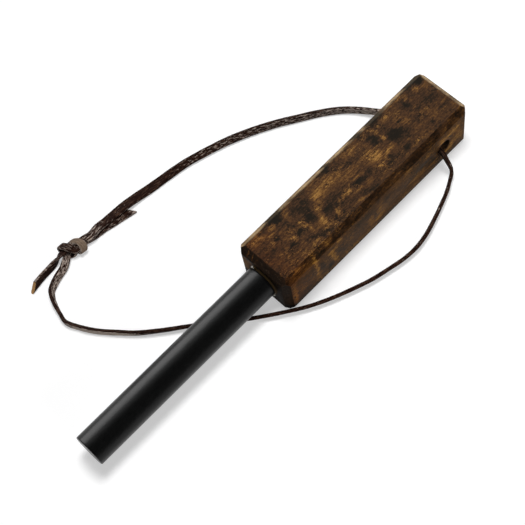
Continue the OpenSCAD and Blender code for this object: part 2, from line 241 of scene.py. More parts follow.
def smoothRoute(stations, step):
    # centripetal curve through all stations at once, then evenly spaced by its length
    p = stations[:, :3]
    ends = np.vstack([1.5 * p[:1] - 0.5 * p[1:2], p, 1.5 * p[-1:] - 0.5 * p[-2:-1]])
    p0, p1, p2, p3 = ends[:-3, None], ends[1:-2, None], ends[2:-1, None], ends[3:, None]
    a, b, c = (np.sqrt(np.linalg.norm(q - r, axis=-1, keepdims=True)) for q, r in ((p1, p0), (p2, p1), (p3, p2)))
    s = np.linspace(0, 1, 16, endpoint=False)[None, :, None]
    t = a + b * s
    e = (p0 * (a - t) + p1 * t) / a
    f = (p1 * (a + b - t) + p2 * (t - a)) / b
    g = (p2 * (a + b + c - t) + p3 * (t - a - b)) / c
    curve = ((e * (a + b - t) + f * t) / (a + b) * (a + b - t) + (f * (a + b + c - t) + g * (t - a)) / (b + c) * (t - a)) / b
    rest = stations[:-1, None, 3:] * (1 - s) + stations[1:, None, 3:] * s
    dense = np.concatenate([np.concatenate([curve, rest], -1).reshape(-1, 7), stations[-1:]])
    run = np.concatenate([[0], np.cumsum(np.linalg.norm(np.diff(dense[:, :3], axis=0), axis=1))])
    marks = run[:: 16]  # how far along each station lies
    at = np.linspace(0, run[-1], int(round(run[-1] / step)) + 1)
    even = np.stack([np.interp(at, run, dense[:, k]) for k in range(7)], -1)
    kernel = np.hanning(9) / np.hanning(9).sum()
    soft = np.stack([np.convolve(np.pad(even[:, k], 4, mode="edge"), kernel, "valid") for k in range(3, 7)], -1)
    even[:, 3:] = soft
    return even, at, marks


def sectionShape(count, power):
    # a unit superellipse |u|^n + |v|^n = 1 with its points evenly spaced round its edge
    turn = np.linspace(0, 2 * math.pi, 721)
    u = np.sign(np.cos(turn)) * abs(np.cos(turn)) ** (2 / power)
    v = np.sign(np.sin(turn)) * abs(np.sin(turn)) ** (2 / power)
    run = np.concatenate([[0], np.cumsum(np.hypot(np.diff(u) * 2, np.diff(v)))])
    at = np.linspace(0, run[-1], count, endpoint=False)
    return np.interp(at, run, u), np.interp(at, run, v)


def ripple(along, seed, waves):
    # a few sines of unrelated wavelengths added up, for the hand-cut strip's uneven width
    rng = np.random.default_rng(seed)
    phase = rng.uniform(0, 2 * math.pi, len(waves))
    return sum(np.sin(2 * math.pi * along / w + f) for w, f in zip(waves, phase)) / len(waves)


def stripRings(route, along, startSlant=0.0, endSlant=0.0, startWay=None, endWay=None, swell=0.0, thin=0.0, seed=1):
    # the section carried along the route: u across the strip, v through it, pinched in the knot
    point, normal, squeeze = route[:, :3], route[:, 3:6], route[:, 6:7]
    way = unitRows(np.gradient(point, along, axis=0))
    if startWay is not None:
        way[0] = startWay
    if endWay is not None:
        way[-1] = endWay
    normal = unitRows(normal - way * (normal * way).sum(1, keepdims=True))
    across = np.cross(way, normal)
    soft = np.minimum(squeeze, 1)
    wobble = 0.02 * ripple(along, seed, (7.3, 12.9, 3.1))[:, None]
    width = thong["width"] * (1 - 0.06 * squeeze - 0.1 * np.maximum(squeeze - 1, 0)) * (1 + wobble)
    depth = thong["thickness"] * (1 - 0.22 * soft - thin) * (1 + 0.04 * ripple(along, seed + 5, (5.1, 9.7, 2.3))[:, None])
    u, v = sectionShape(thong["around"], thong["edgeRound"])
    swell = np.zeros(len(along)) + swell
    slant = startSlant * np.exp(-along / 0.9) + endSlant * np.exp(-(along[-1] - along) / 0.9)
    rings = (
        point[:, None]
        + across[:, None] * (u[None, :, None] * width[:, None] / 2 + np.minimum(u, 0)[None, :, None] * swell[:, None, None])
        + normal[:, None] * (v[None, :, None] * depth[:, None] / 2)
        + way[:, None] * (slant[:, None, None] * u[None, :, None] / 2)
    )
    return rings, u, v


def stripPiece(name, rings, along, u, v, scuffSheenTable, seed):
    # one length of thong from its rings, closed at both ends, with its UV map in millimetres
    rows, count = rings.shape[:2]
    points = rings.reshape(-1, 3) * mm
    sides = gridFaces(rows, count)
    caps = [list(range(count)), [(rows - 1) * count + k for k in range(count - 1, -1, -1)]]
    # the rings turn so that a side face taken row by row points outwards or inwards; one sign sets all
    a, b, c = points[sides[0][0]], points[sides[0][1]], points[sides[0][3]]
    outward = np.dot(np.cross(b - a, c - a), a - points[:count].mean(0)) > 0
    faces = sides.tolist() if outward else sides[:, ::-1].tolist()
    if outward:
        caps = [caps[0][::-1], caps[1][::-1]]
    piece = newPiece(name, points, faces + caps)
    mesh = piece.data
    girth = np.concatenate([[0], np.cumsum(np.hypot(np.diff(u) * 1.6, np.diff(v) * 0.8))])
    strip = mesh.uv_layers.new(name="strip")
    loops = np.empty(len(mesh.loops), int)
    mesh.loops.foreach_get("vertex_index", loops)
    coords = np.stack([along[loops // count] / 100 + seed * 0.37, girth[loops % count] / 100], -1)
    strip.data.foreach_set("uv", coords.ravel())
    # how pale each point is, from scuffs and painted sheen: the table's value for its face, blended round the corners
    front, back, right, left = (np.interp(along, np.array(scuffSheenTable)[:, 0], np.array(scuffSheenTable)[:, k])[:, None] for k in range(1, 5))
    onFace = np.clip((abs(v) - 0.6) / 0.3, 0, 1)
    scuffSheen = np.where(v > 0, front, back) * onFace + np.where(u > 0, right, left) * (1 - onFace)
    bare = ((along > fleshShows[0]) & (along < fleshShows[1]) & (scuffSheenTable is scuffB))[:, None] * onFace * (v < 0)
    for label, value in (("scuffed", scuffSheen), ("fleshSide", bare)):
        layer = mesh.attributes.new(label, "FLOAT", "POINT")
        layer.data.foreach_set("value", value.ravel().astype(np.float32))
    for end in (-2, -1):
        mesh.polygons[end].use_smooth = False
        mesh.polygons[end].material_index = 1
    return piece


routeA, alongA, marksA = smoothRoute(
    np.vstack([runStations(pointRows), knotStations(bightA), runStations(upperRows)]), thong["ringStep"]
)
routeB, alongB, marksB = smoothRoute(
    np.vstack([runStations(lowerRows), knotStations(bightB), runStations(cutRows)]), thong["ringStep"]
)
splitA = int(np.searchsorted(alongA, marksA[len(pointRows) + len(bightA) - 1]))
splitB = int(np.searchsorted(alongB, marksB[len(lowerRows)]))
swellA = thong["swell"] * np.exp(-(((alongA - 76) / 15) ** 2))
thinB = 0.1 * np.exp(-(((alongB - 22) / 14) ** 2))[:, None]
ringsA, sectionU, sectionV = stripRings(
    routeA, alongA, startSlant=-thong["pointSlant"], endWay=(0, 1, 0), swell=swellA, seed=3
)
ringsB, sectionU, sectionV = stripRings(
    routeB, alongB, endSlant=-thong["cutSlant"], startWay=(0, 1, 0), thin=thinB, seed=8
)
holeRow = np.array([holeX + seatX, 0, seatZ, 1, 0, 0, 0], float)
holeSpan = np.linspace(-12.2, 12.2, 49)
holeRoute = np.tile(holeRow, (49, 1))
holeRoute[:, 1] = holeSpan
ringsHole, sectionU, sectionV = stripRings(holeRoute, holeSpan + 12.2, seed=5)
pointedEnd = stripPiece("thongPointedEnd", ringsA[: splitA + 1], alongA[: splitA + 1], sectionU, sectionV, scuffAndSheenA, 1)
upperRun = stripPiece("thongUpperRun", ringsA[splitA:], alongA[splitA:], sectionU, sectionV, scuffAndSheenA, 1)
inHole = stripPiece("thongInHole", ringsHole, holeSpan, sectionU, sectionV, scuffB[:2], 2)
lowerRun = stripPiece("thongLowerRun", ringsB[: splitB + 1], alongB[: splitB + 1], sectionU, sectionV, scuffB, 3)
cutEnd = stripPiece("thongCutEnd", ringsB[splitB:], alongB[splitB:], sectionU, sectionV, scuffB, 3)
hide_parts("thong_pointed_end")
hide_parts("thong_upper_run")
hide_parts("thong_in_hole")
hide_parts("thong_lower_run")
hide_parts("thong_cut_end")
print("thong laid:", round(float(alongA[-1] - alongA[splitA])), "mm and", round(float(alongB[splitB])), "mm to the knot")

# Handle: the solid's own shape with its loose triangles joined and its corners softened by sanding.
handleLook = {"sandedEdge": 0.35}  # mm


def makeHandle():
    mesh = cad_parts["handle"].data.copy()
    mesh.name = "handleBlock"
    work = bmesh.new()
    work.from_mesh(mesh)
    bmesh.ops.remove_doubles(work, verts=work.verts, dist=1e-6)
    bmesh.ops.dissolve_limit(work, angle_limit=math.radians(1), verts=work.verts, edges=work.edges)
    work.to_mesh(mesh)
    work.free()
    mesh.polygons.foreach_set("use_smooth", np.ones(len(mesh.polygons), bool))
    handle = bpy.data.objects.new("handleBlock", mesh)
    bpy.context.collection.objects.link(handle)
    bevel = handle.modifiers.new("sanded edges", "BEVEL")
    bevel.width = handleLook["sandedEdge"] * mm
    bevel.segments = 3
    bevel.limit_method = "ANGLE"
    bevel.angle_limit = math.radians(22)
    bevel.harden_normals = True
    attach(handle, "root")
    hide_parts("handle")
    return handle


handle = makeHandle()
print("handle made")

# Rod: a turned profile with a worn rim at the tip.
rodLow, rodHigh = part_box("ferro_rod")
rodLook = {
    "rimRound": 0.45,  # mm
    "nickDepth": 0.12,
    "coat": "#040404",
    "coatWorn": "#121212",
}


def makeRod():
    # radius as a function of distance along the axis, carried round the axis; the rim is chipped by a few dips
    low, high = np.array(rodLow) / mm, np.array(rodHigh) / mm
    radius = (high[2] - low[2]) / 2
    axisZ = (high[2] + low[2]) / 2
    tip = high[0]
    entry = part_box("handle")[1][0] / mm
    shank = radius - 0.2
    turn = np.linspace(0, math.pi / 2, 8)
    rim = rodLook["rimRound"]
    x = np.concatenate([[low[0], low[0]], [entry + 0.6, entry + 0.6], np.linspace(entry + 1.2, tip - rim - 0.5, 120),
                        tip - rim + rim * np.sin(turn), [tip, tip, tip]])
    r = np.concatenate([[0.02, shank], [shank, radius], np.full(120, radius),
                        radius - rim + rim * np.cos(turn), [radius * 0.66, radius * 0.33, 0.02]])
    angle = np.linspace(0, 2 * math.pi, 128, endpoint=False)
    chips = sum(
        np.exp(-(((angle - place + math.pi) % (2 * math.pi) - math.pi) / wide) ** 2) * deep
        for place, wide, deep in ((0.4, 0.05, 1.0), (1.1, 0.08, 0.6), (1.9, 0.04, 0.9), (2.5, 0.06, 0.5), (4.2, 0.09, 0.7))
    )
    nearRim = np.exp(-(((x - tip) / 0.5) ** 2)) * (r > radius * 0.8)
    radii = r[:, None] - rodLook["nickDepth"] * nearRim[:, None] * chips[None, :]
    points = np.stack([np.repeat(x[:, None], 128, 1), radii * np.cos(angle), axisZ + radii * np.sin(angle)], -1)
    points = points.reshape(-1, 3) * mm
    faces = gridFaces(len(x), 128)[:, ::-1].tolist()
    faces += [list(range(128)), [(len(x) - 1) * 128 + k for k in range(127, -1, -1)]]
    rod = newPiece("ferroRod", points, faces)
    work = bmesh.new()
    work.from_mesh(rod.data)
    bmesh.ops.recalc_face_normals(work, faces=work.faces)
    work.to_mesh(rod.data)
    work.free()
    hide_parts("ferro_rod")
    return rod


rod = makeRod()
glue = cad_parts["epoxy_bond"]
print("rod made")


# Figure of the burl, as it shows on this block: a soft spot for each pale or dark patch, in millimetres.
# Each row is where it is along the block and across the face, how long it is along the grain, how wide,
# its turn in degrees and how much it lightens the wood, or darkens it where it is negative.
burlOnTop = [
    [-84, -7.4, 1.7, 1.5, 0, 0.36], [-78, -7, 1.2, 1.8, 10, 0.3], [-86.9, -4.5, 2, 1.4, 0, 0.2],
    [-72.6, -9.1, 3, 0.7, 0, 0.26], [-70.9, -1.3, 2.8, 1.8, 0, 0.32], [-66.6, -8.2, 2.2, 1.4, 0, 0.3],
    [-60.4, -5.1, 0.8, 2.8, 8, 0.4], [-61, -1.9, 1, 1.2, 0, 0.34], [-53.5, -1.5, 4, 3.2, 0, 0.32],
    [-53.4, 1.2, 3, 1.4, 5, 0.2], [-58.8, 2.3, 2.6, 0.9, 16, 0.34], [-55, 3.7, 3.4, 0.6, 20, 0.4],
    [-51.6, 4.7, 0.9, 0.5, 10, 0.7], [-41.5, -1.6, 4.4, 1.6, 0, 0.3], [-49.3, -7.3, 4, 1.3, 0, 0.24],
    [-87.8, 7.7, 1.2, 2.4, 0, 0.22], [-67.8, 8.2, 3.4, 0.6, 0, 0.26], [-38.3, 4.8, 2.6, 0.7, -4, 0.32],
    [-35.5, 3.3, 2, 0.7, 0, 0.28], [-43.9, 5.5, 1.4, 1, 0, 0.3], [-81, 5, 2, 1.4, 0, 0.2],
    [-31.1, -5.8, 4, 2.6, 0, 0.3], [-37, -4.3, 4.6, 2.2, 0, 0.26], [-27.2, -4.9, 2.2, 2, 0, 0.24],
    [-22.8, 2, 1.4, 3, -12, 0.4], [-25.4, -1.6, 1.3, 2.4, -35, 0.26], [-28.2, 5.6, 0.6, 1.8, -12, 0.5],
    [-24, 8.9, 2.6, 0.6, -30, 0.44], [-21.2, 6.4, 1.6, 0.7, 0, 0.4], [-21.6, 4.4, 2, 1.6, 0, 0.24],
    [-15.2, -7.5, 1.8, 1.8, -20, 0.4], [-16.9, 2.1, 0.8, 2.2, -10, 0.44], [-16.4, -1, 1, 1, 0, 0.4],
    [-10.7, 1, 1.4, 0.6, 0, 0.6], [-10.6, 2.5, 1, 0.7, 0, 0.5], [-7.8, -7.7, 1.3, 0.9, 0, 0.5],
    [-3, -7.3, 1.2, 1, 0, 0.3], [-5.4, -5.6, 2, 0.5, 0, 0.34], [-4.4, -2.3, 1.1, 1.1, 0, 0.34],
    [-5.5, 2.6, 1.4, 0.8, 0, 0.34], [-2.6, 2.6, 0.8, 0.6, 0, 0.3], [-13.7, 8.5, 2.6, 1.4, 0, 0.32],
    [-36.2, 8.8, 2.6, 0.6, 0, 0.34], [-39.6, 9.1, 2.6, 0.5, 0, 0.26], [-35.8, 3.1, 2.8, 0.9, 0, 0.3],
    [-40, 5.3, 1.8, 0.7, 0, 0.3], [-42, 1.5, 2.6, 1, 0, 0.24], [0.6, -7.6, 1.6, 1.4, 0, 0.3],
    [-86.5, -8.3, 2.2, 1.4, 0, -0.2], [-76.1, -5.3, 2.2, 2.2, -20, -0.36], [-82.2, -1.1, 3.4, 1.8, -30, -0.2],
    [-86, -0.3, 1.6, 2, 0, -0.16], [-75.2, 1.6, 1.8, 1.4, 10, -0.26], [-77, 6.2, 0.9, 0.9, 0, -0.4],
    [-65.9, 1.1, 4.4, 2.6, 0, -0.36], [-64.3, -1.7, 2.4, 2, 0, -0.24], [-63.8, 6.3, 2.4, 1.6, 0, -0.34],
    [-57.6, -4.2, 2, 3.4, 5, -0.36], [-64, -4.8, 3, 1.2, 0, -0.2], [-56.5, 5.4, 3, 2, 15, -0.3],
    [-47.8, 3, 2.6, 1.5, 0, -0.34], [-40.9, 2.5, 2.8, 0.9, -4, -0.34], [-42.1, 8.2, 3.4, 0.9, -4, -0.4],
    [-44.8, -4.9, 3, 0.8, 0, -0.2], [-69.4, -2.6, 0.9, 0.5, -14, -0.8], [-48.5, 6.4, 3, 0.9, 10, -0.2],
    [-22.5, -6, 3.2, 3.4, -25, -0.3], [-20.1, -1, 2.6, 3.2, -25, -0.36], [-17.7, -6.3, 2.4, 2.2, 0, -0.26],
    [-26.5, 2, 2.8, 1.8, -15, -0.36], [-26.2, 6.8, 2.2, 1, -20, -0.5], [-19.6, 7.8, 3.6, 1.1, -10, -0.44],
    [-14.7, 5.5, 1.8, 1.2, 0, -0.3], [-8.4, 2.9, 2, 1.5, 0, -0.46], [-13.7, 1, 2, 1.5, 0, -0.4],
    [-10.5, -8.5, 1.6, 2, 0, -0.34], [-12.5, -4.2, 1, 2.6, 0, -0.34], [-42.8, 4.1, 3, 1.3, 0, -0.34],
    [-6.3, -3.1, 1.6, 0.9, 0, -0.34], [-31.5, 0.8, 2.6, 1.6, -10, -0.24], [-31.8, 4.6, 2.2, 1, -20, -0.26],
    [-1.6, -0.8, 3, 0.6, 0, -0.3], [-7.8, -7.7, 0.5, 0.3, 0, -0.9], [-4.4, -2.3, 0.5, 0.4, 0, -0.7],
]
# The same on the near side, with the height above the table second.
burlOnSide = [
    [-83, 16, 3, 1.6, 0, 0.34], [-75.5, 16.4, 2.2, 1.4, 0, 0.3], [-85, 9, 3, 5, 0, 0.2], [-81, 7.6, 1.6, 1.4, 0, 0.3],
    [-68.5, 15, 1.6, 1.6, 0, 0.26], [-57, 18.2, 1.6, 1.2, 0, 0.26], [-61, 8.2, 4.6, 1, 0, 0.26],
    [-72, 5.4, 3.4, 1, 0, 0.2], [-58, 2.6, 5, 1, 0, 0.18], [-43, 11, 2, 4.4, 0, 0.26], [-37.4, 10, 1.4, 2.6, 0, 0.24],
    [-40.4, 6, 3, 1.8, 0, 0.22], [-30, 3.4, 7, 1.3, 0, 0.24], [-21.2, 18.2, 1.2, 1.4, 0, 0.34],
    [-19, 15, 2.8, 0.9, 0, 0.34], [-18.2, 9.6, 1, 6.4, 14, 0.4], [-9.8, 12.6, 0.7, 7, 4, 0.4], [-4, 17.6, 3, 1, 0, 0.16],
    [-12, 3.6, 2.4, 1.6, 0, 0.2], [1.6, 8, 0.8, 9, 0, 0.3], [-66, 11.6, 8, 1, 0, -0.24], [-70, 8.6, 3.6, 1.4, 0, -0.26],
    [-32, 15.4, 6, 2, 0, -0.16], [-47, 14.4, 3.4, 1.2, 0, -0.16], [-22, 11, 3, 4, 0, -0.16], [-12.4, 11, 1, 3.4, 10, -0.26],
    [-16, 5.6, 1.4, 1.8, 0, -0.3], [-3.4, 5.6, 4.4, 3.6, 0, -0.16], [-40, 1.6, 46, 0.9, 0, -0.2], [-78, 14.7, 3.4, 0.8, 0, 0.36],
    [-79, 5.8, 3, 0.9, 0, 0.36],
]
# And on the bevels, with only half the length, half the width and the strength: near, far, then front.
# The last list is not figure but a painted patch of light on the far part of the end face, with its place across and
# its height first.
burlOnNearBevel = [
    [-86, 0.9, 2.5, -0.3], [-82, 1.4, 1.6, 0.16], [-72, 5, 2, 0.14], [-58, 4, 1.2, -0.3], [-52, 5, 1.6, 0.1],
    [-40, 8, 2, -0.2], [-26, 5, 2, -0.2], [-17.4, 1.8, 2.4, 0.36], [-13, 2, 2, -0.34], [-9.4, 0.7, 3, 0.44],
    [-5, 4.4, 1.5, 0.26], [-0.5, 2.5, 1.4, 0.22],
]
burlOnFarBevel = [
    [-86.5, 2.4, 3, -0.8], [-82, 1.2, 3, -0.6], [-77, 2, 3, 0.3], [-64, 3.6, 3, -0.8], [-59, 1.6, 3, 0.3],
    [-55, 1.6, 3, -0.6], [-48, 4, 3, 0.3], [-38, 1.5, 3, -0.5], [-28, 4, 3, 0.2], [-11.5, 4, 3, -0.7], [-2, 2, 3, 0.3],
]
burlOnFront = [[-7.4, 0.5, 1.6, 0.4], [-5, 0.5, 1.6, 0.4], [-3.2, 0.5, 1.6, 0.3]]
paintedLightOnEnd = [[-8.4, 13.2, 2, 4, 1.2], [-6.2, 17, 1.8, 1.8, 0.8]]
woodLook = {
    "patches": 0.9,  # how strongly the burl's patches show
    "grain": 0.62,
    "stain": "#3e2c20",
    "nearSideTint": "#f8f2d4",
    # pale tone of the bevels that face away: rubbed wood with a painted sheen on it
    "rubbedEdgeAndSheen": "#b89d78",
    "pooledStainAndShade": "#8c8a88",  # what pooled stain and painted shade leave of the wood's own colour on the near bevel, where thick and where thin
    "thinStainAndShade": "#e2ddd4",
    "endGrain": "#1a1511",
    "sawMarks": "#54473a",
}


def woodMaterial():
    # curly birch burl, stained dark, sanded and oiled: it shows dark and golden patches made of ragged
    # fibres, edges rubbed pale with a painted sheen where the light catches them, pooled stain and painted shade
    # on the near bevel, a painted patch of light on the end face's far part, nearly black end grain, and a low sheen
    material, tree, shader = newMaterial("stainedCurlyBirchOiled")

    def maths(kind, first, second, third=0.0):
        return put(tree, "ShaderNodeMath", {"operation": kind}, {0: first, 1: second, 2: third})

    def noise(place, stretch, scale, detail, rough=0.6):
        stretched = put(tree, "ShaderNodeMapping", {}, {"Vector": place, "Scale": stretch})
        return put(tree, "ShaderNodeTexNoise", {}, {"Vector": stretched, "Scale": scale, "Detail": detail,
                                                     "Roughness": rough})

    def spread(value, low, high, toLow=0.0, toHigh=1.0):
        return put(tree, "ShaderNodeMapRange", {}, {"Value": value, "From Min": low, "From Max": high,
                                                     "To Min": toLow, "To Max": toHigh})

    place = put(tree, "ShaderNodeTexCoord").outputs["Object"]
    inMm = put(tree, "ShaderNodeVectorMath", {"operation": "SCALE"}, {0: place, "Scale": 1000.0})
    # the patches' edges wander by a millimetre or so, and fray by a few tenths
    wander = put(tree, "ShaderNodeTexNoise", {}, {"Vector": inMm, "Scale": 0.42, "Detail": 5.0, "Roughness": 0.72})
    middle = put(tree, "ShaderNodeVectorMath", {"operation": "SUBTRACT"}, {0: wander.outputs["Color"],
                                                                            1: (0.5, 0.5, 0.5)})
    ragged = put(tree, "ShaderNodeVectorMath", {"operation": "MULTIPLY_ADD"}, {0: middle, 1: (6.0, 3.2, 3.2), 2: inMm})
    curled = put(tree, "ShaderNodeVectorMath", {"operation": "MULTIPLY_ADD"}, {0: middle, 1: (1.0, 1.5, 1.5), 2: inMm})
    light, dark = 0.0, 0.0
    spots = [((x, y, 22), (0, 0, turn), (half, wide, 2.6), strength) for x, y, half, wide, turn, strength in burlOnTop]
    spots += [((x, 12.2, z), (0, turn, 0), (half, 1.2, tall), 1.4 * strength) for x, z, half, tall, turn, strength in burlOnSide]
    spots += [((x, 11, 20.8), (0, 0, 0), (half, wide, wide), strength) for x, half, wide, strength in burlOnNearBevel]
    spots += [((x, -11, 20.8), (0, 0, 0), (half, wide, wide), strength) for x, half, wide, strength in burlOnFarBevel]
    spots += [((4.6, y, 20.8), (0, 0, 0), (wide, half, wide), strength) for y, half, wide, strength in burlOnFront]
    # painted light on the far part of the end face
    spots += [((5.7, y, z), (0, 0, 0), (4, half, tall), strength) for y, z, half, tall, strength in paintedLightOnEnd]
    for at, turn, size, strength in spots:
        spot = put(tree, "ShaderNodeMapping", {"vector_type": "TEXTURE"}, {
            "Vector": ragged, "Location": at, "Rotation": [math.radians(a) for a in turn],
            "Scale": [1.6 * v for v in size]})
        soft = put(tree, "ShaderNodeTexGradient", {"gradient_type": "SPHERICAL"}, {"Vector": spot})
        if strength > 0:
            light = maths("MULTIPLY_ADD", soft.outputs["Fac"], strength, light)
        else:
            dark = maths("MULTIPLY_ADD", soft.outputs["Fac"], strength, dark)
    # figure everywhere: clouds, tufts and fibres 0.4 mm wide and 6 mm long, all longer along the grain
    clouds = noise(inMm, (0.5, 1, 1), 0.14, 2.0)
    facing = put(tree, "ShaderNodeSeparateXYZ", {}, {0: put(tree, "ShaderNodeNewGeometry").outputs["Normal"]})
    tufts = noise(ragged, (0.4, 1, 1), 0.8, 5.0, 0.7)
    fibres = noise(curled, (0.13, 2.2, 2.2), 1.0, 4.0, 0.66)
    grit = noise(inMm, (0.6, 1, 1), 1.7, 3.0, 0.75)
    figure = maths("MULTIPLY_ADD", maths("SUBTRACT", clouds, 0.5), 0.4, 0.395)
    # a little lighter on the faces turned to the near side
    figure = maths("MULTIPLY_ADD", spread(facing.outputs[1], 0.6, 0.9), 0.02, figure)
    figure = maths("MULTIPLY_ADD", maths("SUBTRACT", tufts, 0.5), woodLook["grain"] * 0.9, figure)
    figure = maths("MULTIPLY_ADD", maths("SUBTRACT", fibres, 0.5), woodLook["grain"] * 1.3, figure)
    figure = maths("MULTIPLY_ADD", maths("SUBTRACT", grit, 0.5), woodLook["grain"] * 1.5, figure)
    # curly veins, 0.4 mm wide: a dark line wherever a noise passes its middle, with an amber one beside it
    curls = noise(curled, (0.6, 1, 1), 0.5, 3.0, 0.6)
    veined = spread(noise(inMm, (0.4, 1, 1), 0.2, 2.0), 0.46, 0.58)
    for level, strength in ((0.5, -0.34), (0.545, 0.3)):
        line = spread(maths("ABSOLUTE", maths("SUBTRACT", curls, level), 0.0), 0.004, 0.03, 1.0, 0.0)
        figure = maths("MULTIPLY_ADD", maths("MULTIPLY", line, veined), strength, figure)
    # pale patches are bundles of pale fibres, dark ones are blots of stain
    inFibres = spread(fibres, 0.3, 0.7, 0.35, 1.25)
    figure = maths("MULTIPLY_ADD", maths("MULTIPLY", light, inFibres), woodLook["patches"], figure)
    figure = maths("MULTIPLY_ADD", dark, woodLook["patches"] * 0.7, figure)
    # both have crisp, frayed edges inside their soft ones
    frayedLight = maths("MULTIPLY_ADD", maths("SUBTRACT", fibres, 0.5), 0.7, light)
    frayedDark = maths("MULTIPLY_ADD", maths("SUBTRACT", tufts, 0.5), 0.6, dark)
    figure = maths("ADD", figure, spread(frayedLight, 0.2, 0.4, 0.0, 0.13))
    figure = maths("ADD", figure, spread(frayedDark, -0.32, -0.16, -0.14, 0.0))
    ramp = put(tree, "ShaderNodeValToRGB", {"stops": [
        (0.04, "#1f1b16"), (0.2, "#2c231a"), (0.34, woodLook["stain"]), (0.48, "#4e3623"), (0.62, "#624427"),
        (0.8, "#7d5930"), (1.0, "#a0763f")]}, {"Fac": figure})
    # redder heartwood towards the front
    apart = put(tree, "ShaderNodeSeparateXYZ", {}, {0: ragged})
    front = maths("MULTIPLY", spread(apart.outputs[0], -12, 2), spread(clouds, 0.35, 0.6, 0.4, 1.0))
    colour = put(tree, "ShaderNodeMix", {"data_type": "RGBA", "blend_type": "MULTIPLY"}, {
        0: maths("MULTIPLY", front, 0.7), 6: ramp, 7: hexColour("#f2d2c4")}).outputs[2]
    # the faces turned to the near side are tinted a little warmer and darker
    colour = put(tree, "ShaderNodeMix", {"data_type": "RGBA", "blend_type": "MULTIPLY"}, {
        0: spread(facing.outputs[1], 0.6, 0.9), 6: colour, 7: hexColour(woodLook["nearSideTint"])}).outputs[2]
    # the bevels that face away are rubbed pale in places and carry a painted sheen, and on the near bevel pooled stain
    # and painted shade darken the wood
    away = maths("MAXIMUM", maths("MULTIPLY", facing.outputs[1], -1.0), maths("MULTIPLY", facing.outputs[0], -1.0))
    bevelled = maths("MULTIPLY", spread(away, 0.35, 0.65), spread(facing.outputs[2], 0.2, 0.6))
    rubAndSheenMask = maths("ADD", noise(inMm, (0.5, 1, 1), 0.32, 5.0, 0.7), maths("MULTIPLY", maths("ADD", light, dark), 0.5))
    height = put(tree, "ShaderNodeSeparateXYZ", {}, {0: curled}).outputs[2]
    bevelled = maths("MULTIPLY", bevelled, spread(height, 21.0, 21.7, 1.0, 0.2))
    rubbedAndSheen = put(tree, "ShaderNodeVectorMath", {"operation": "SCALE"}, {
        0: hexColour(woodLook["rubbedEdgeAndSheen"])[:3],
        "Scale": maths("MULTIPLY", spread(fibres, 0.35, 0.65, 0.55, 1.35), spread(height, 19.6, 20.3, 0.4, 1.2))})
    colour = put(tree, "ShaderNodeMix", {"data_type": "RGBA"}, {
        0: maths("MULTIPLY", bevelled, spread(rubAndSheenMask, 0.34, 0.64, 0.1, 1.0)), 6: colour, 7: rubbedAndSheen}).outputs[2]
    # painted shade, mottled, with pooled stain: the bevel turned to the near side and up is darkened
    nearBevelStainAndShade = maths("MULTIPLY", spread(facing.outputs[1], 0.4, 0.62), spread(facing.outputs[2], 0.3, 0.55))
    stainAndShadeTone = put(tree, "ShaderNodeMix", {"data_type": "RGBA"}, {
        0: spread(noise(inMm, (0.3, 1, 1), 0.4, 5.0, 0.75), 0.42, 0.6), 6: hexColour(woodLook["pooledStainAndShade"]),
        7: hexColour(woodLook["thinStainAndShade"])}).outputs[2]
    colour = put(tree, "ShaderNodeMix", {"data_type": "RGBA", "blend_type": "MULTIPLY"}, {
        0: nearBevelStainAndShade, 6: colour, 7: stainAndShadeTone}).outputs[2]
    # end grain drinks the stain, except under the pale patches, which on the end face are the painted patch of light on
    # its far part
    ends = maths("MULTIPLY", spread(facing.outputs[0], 0.35, 0.7, 0.0, 0.9), spread(light, 0.1, 0.45, 1.0, 0.4))
    sawn = put(tree, "ShaderNodeMix", {"data_type": "RGBA"}, {
        0: spread(noise(inMm, (1, 0.3, 1), 1.4, 5.0, 0.8), 0.56, 0.72), 6: hexColour(woodLook["endGrain"]),
        7: hexColour(woodLook["sawMarks"])}).outputs[2]
    colour = put(tree, "ShaderNodeMix", {"data_type": "RGBA"}, {0: ends, 6: colour, 7: sawn}).outputs[2]
    tree.links.new(colour, shader.inputs["Base Color"])
    shader.inputs["Specular IOR Level"].default_value = 0.01
    tree.links.new(spread(fibres, 0.3, 0.7, 0.42, 0.56).outputs[0], shader.inputs["Roughness"])
    bump = put(tree, "ShaderNodeBump", {}, {"Height": fibres, "Strength": 0.3, "Distance": 0.00012})
    tree.links.new(bump.outputs[0], shader.inputs["Normal"])
    return material


def rodMaterial():
    # ferrocerium under its black coat: matte graphite, darkest face on, with fine specks
    material, tree, shader = newMaterial("blackCoatedFerrocerium")
    place = put(tree, "ShaderNodeTexCoord").outputs["Object"]
    speck = put(tree, "ShaderNodeTexNoise", {}, {"Vector": place, "Scale": 2500.0, "Detail": 2.0})
    cloud = put(tree, "ShaderNodeTexNoise", {}, {"Vector": place, "Scale": 120.0, "Detail": 3.0})
    mixed = put(tree, "ShaderNodeValToRGB", {"stops": [(0.35, rodLook["coat"]), (0.8, rodLook["coatWorn"])]},
                {"Fac": speck})
    tree.links.new(mixed.outputs[0], shader.inputs["Base Color"])
    shader.inputs["IOR"].default_value = 1.25
    rough = put(tree, "ShaderNodeMapRange", {}, {"Value": cloud, "To Min": 0.26, "To Max": 0.38})
    tree.links.new(rough.outputs[0], shader.inputs["Roughness"])
    bump = put(tree, "ShaderNodeBump", {}, {"Height": speck, "Strength": 0.5, "Distance": 0.00008})
    tree.links.new(bump.outputs[0], shader.inputs["Normal"])
    return material


glueLook = {
    "film": "#3c2e1a",  # the thin, dusty film round the rod
    "drop": "#e6dcc2",  # and the two thick drops, paled with a painted glint
    "filmRough": 0.7,
    "dropRough": 0.06,
    "drops": ((0.0055, -0.0045, 0.0163), (0.0055, 0.0047, 0.0056)),  # m, where the painted glints centre, near the two drops
    "dropReach": 0.0017,
    "dropClear": 0.5,
}


